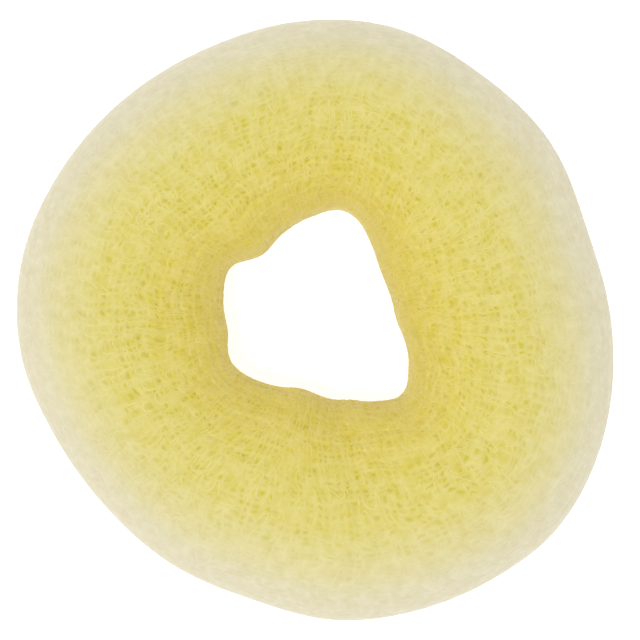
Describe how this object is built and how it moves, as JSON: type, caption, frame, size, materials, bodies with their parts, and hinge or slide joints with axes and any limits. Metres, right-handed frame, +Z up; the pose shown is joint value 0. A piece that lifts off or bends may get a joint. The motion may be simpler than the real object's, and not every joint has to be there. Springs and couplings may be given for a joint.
{
  "type": "hair donut bun maker",
  "caption": "Soft ring of rolled knitted mesh with an uneven hole, which a ponytail is drawn through before the hair is spread over the ring.",
  "frame": {"origin": "middle of the ring's outline, on the surface that the ring rests on", "axes": "+Z up along the hole, +X to the right and +Y to the top of the ring as seen from above in the picture"},
  "size_m": [0.0894, 0.09, 0.031],
  "materials": {
    "knitted_mesh": "open knit of pale yellow nylon strands, matt and slightly see-through",
    "rolled_mesh": "the same knit rolled and pressed together, denser and deeper yellow"
  },
  "bodies": {
    "root": {"outer_mesh": "knitted_mesh", "inner_roll": "rolled_mesh"}
  },
  "joints": []
}
